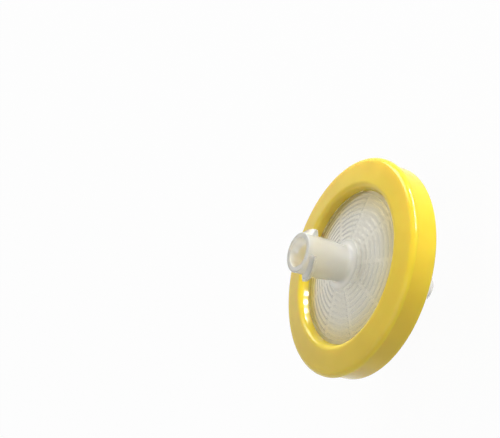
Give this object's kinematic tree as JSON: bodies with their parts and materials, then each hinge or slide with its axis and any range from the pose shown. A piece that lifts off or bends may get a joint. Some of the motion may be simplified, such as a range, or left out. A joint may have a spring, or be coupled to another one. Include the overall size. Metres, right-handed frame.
{
  "type": "syringe filter",
  "caption": "Round syringe filter: a membrane clamped between two ribbed housings in an overmoulded ring, with a female Luer lock inlet and a male Luer slip outlet.",
  "frame": {"origin": "centre of the outlet tip's end face", "axes": "+Z along the flow axis, from the outlet tip to the inlet mouth; +X towards the lower end of one locking lug"},
  "size_m": [0.033, 0.033, 0.0227],
  "materials": {
    "housing": "natural translucent polypropylene, glossy",
    "membrane": "white microporous film, matte",
    "ring": "yellow moulded plastic, glossy"
  },
  "bodies": {
    "root": {"inlet_housing": "housing", "outlet_housing": "housing", "filter_membrane": "membrane", "outer_ring": "ring"}
  },
  "joints": []
}
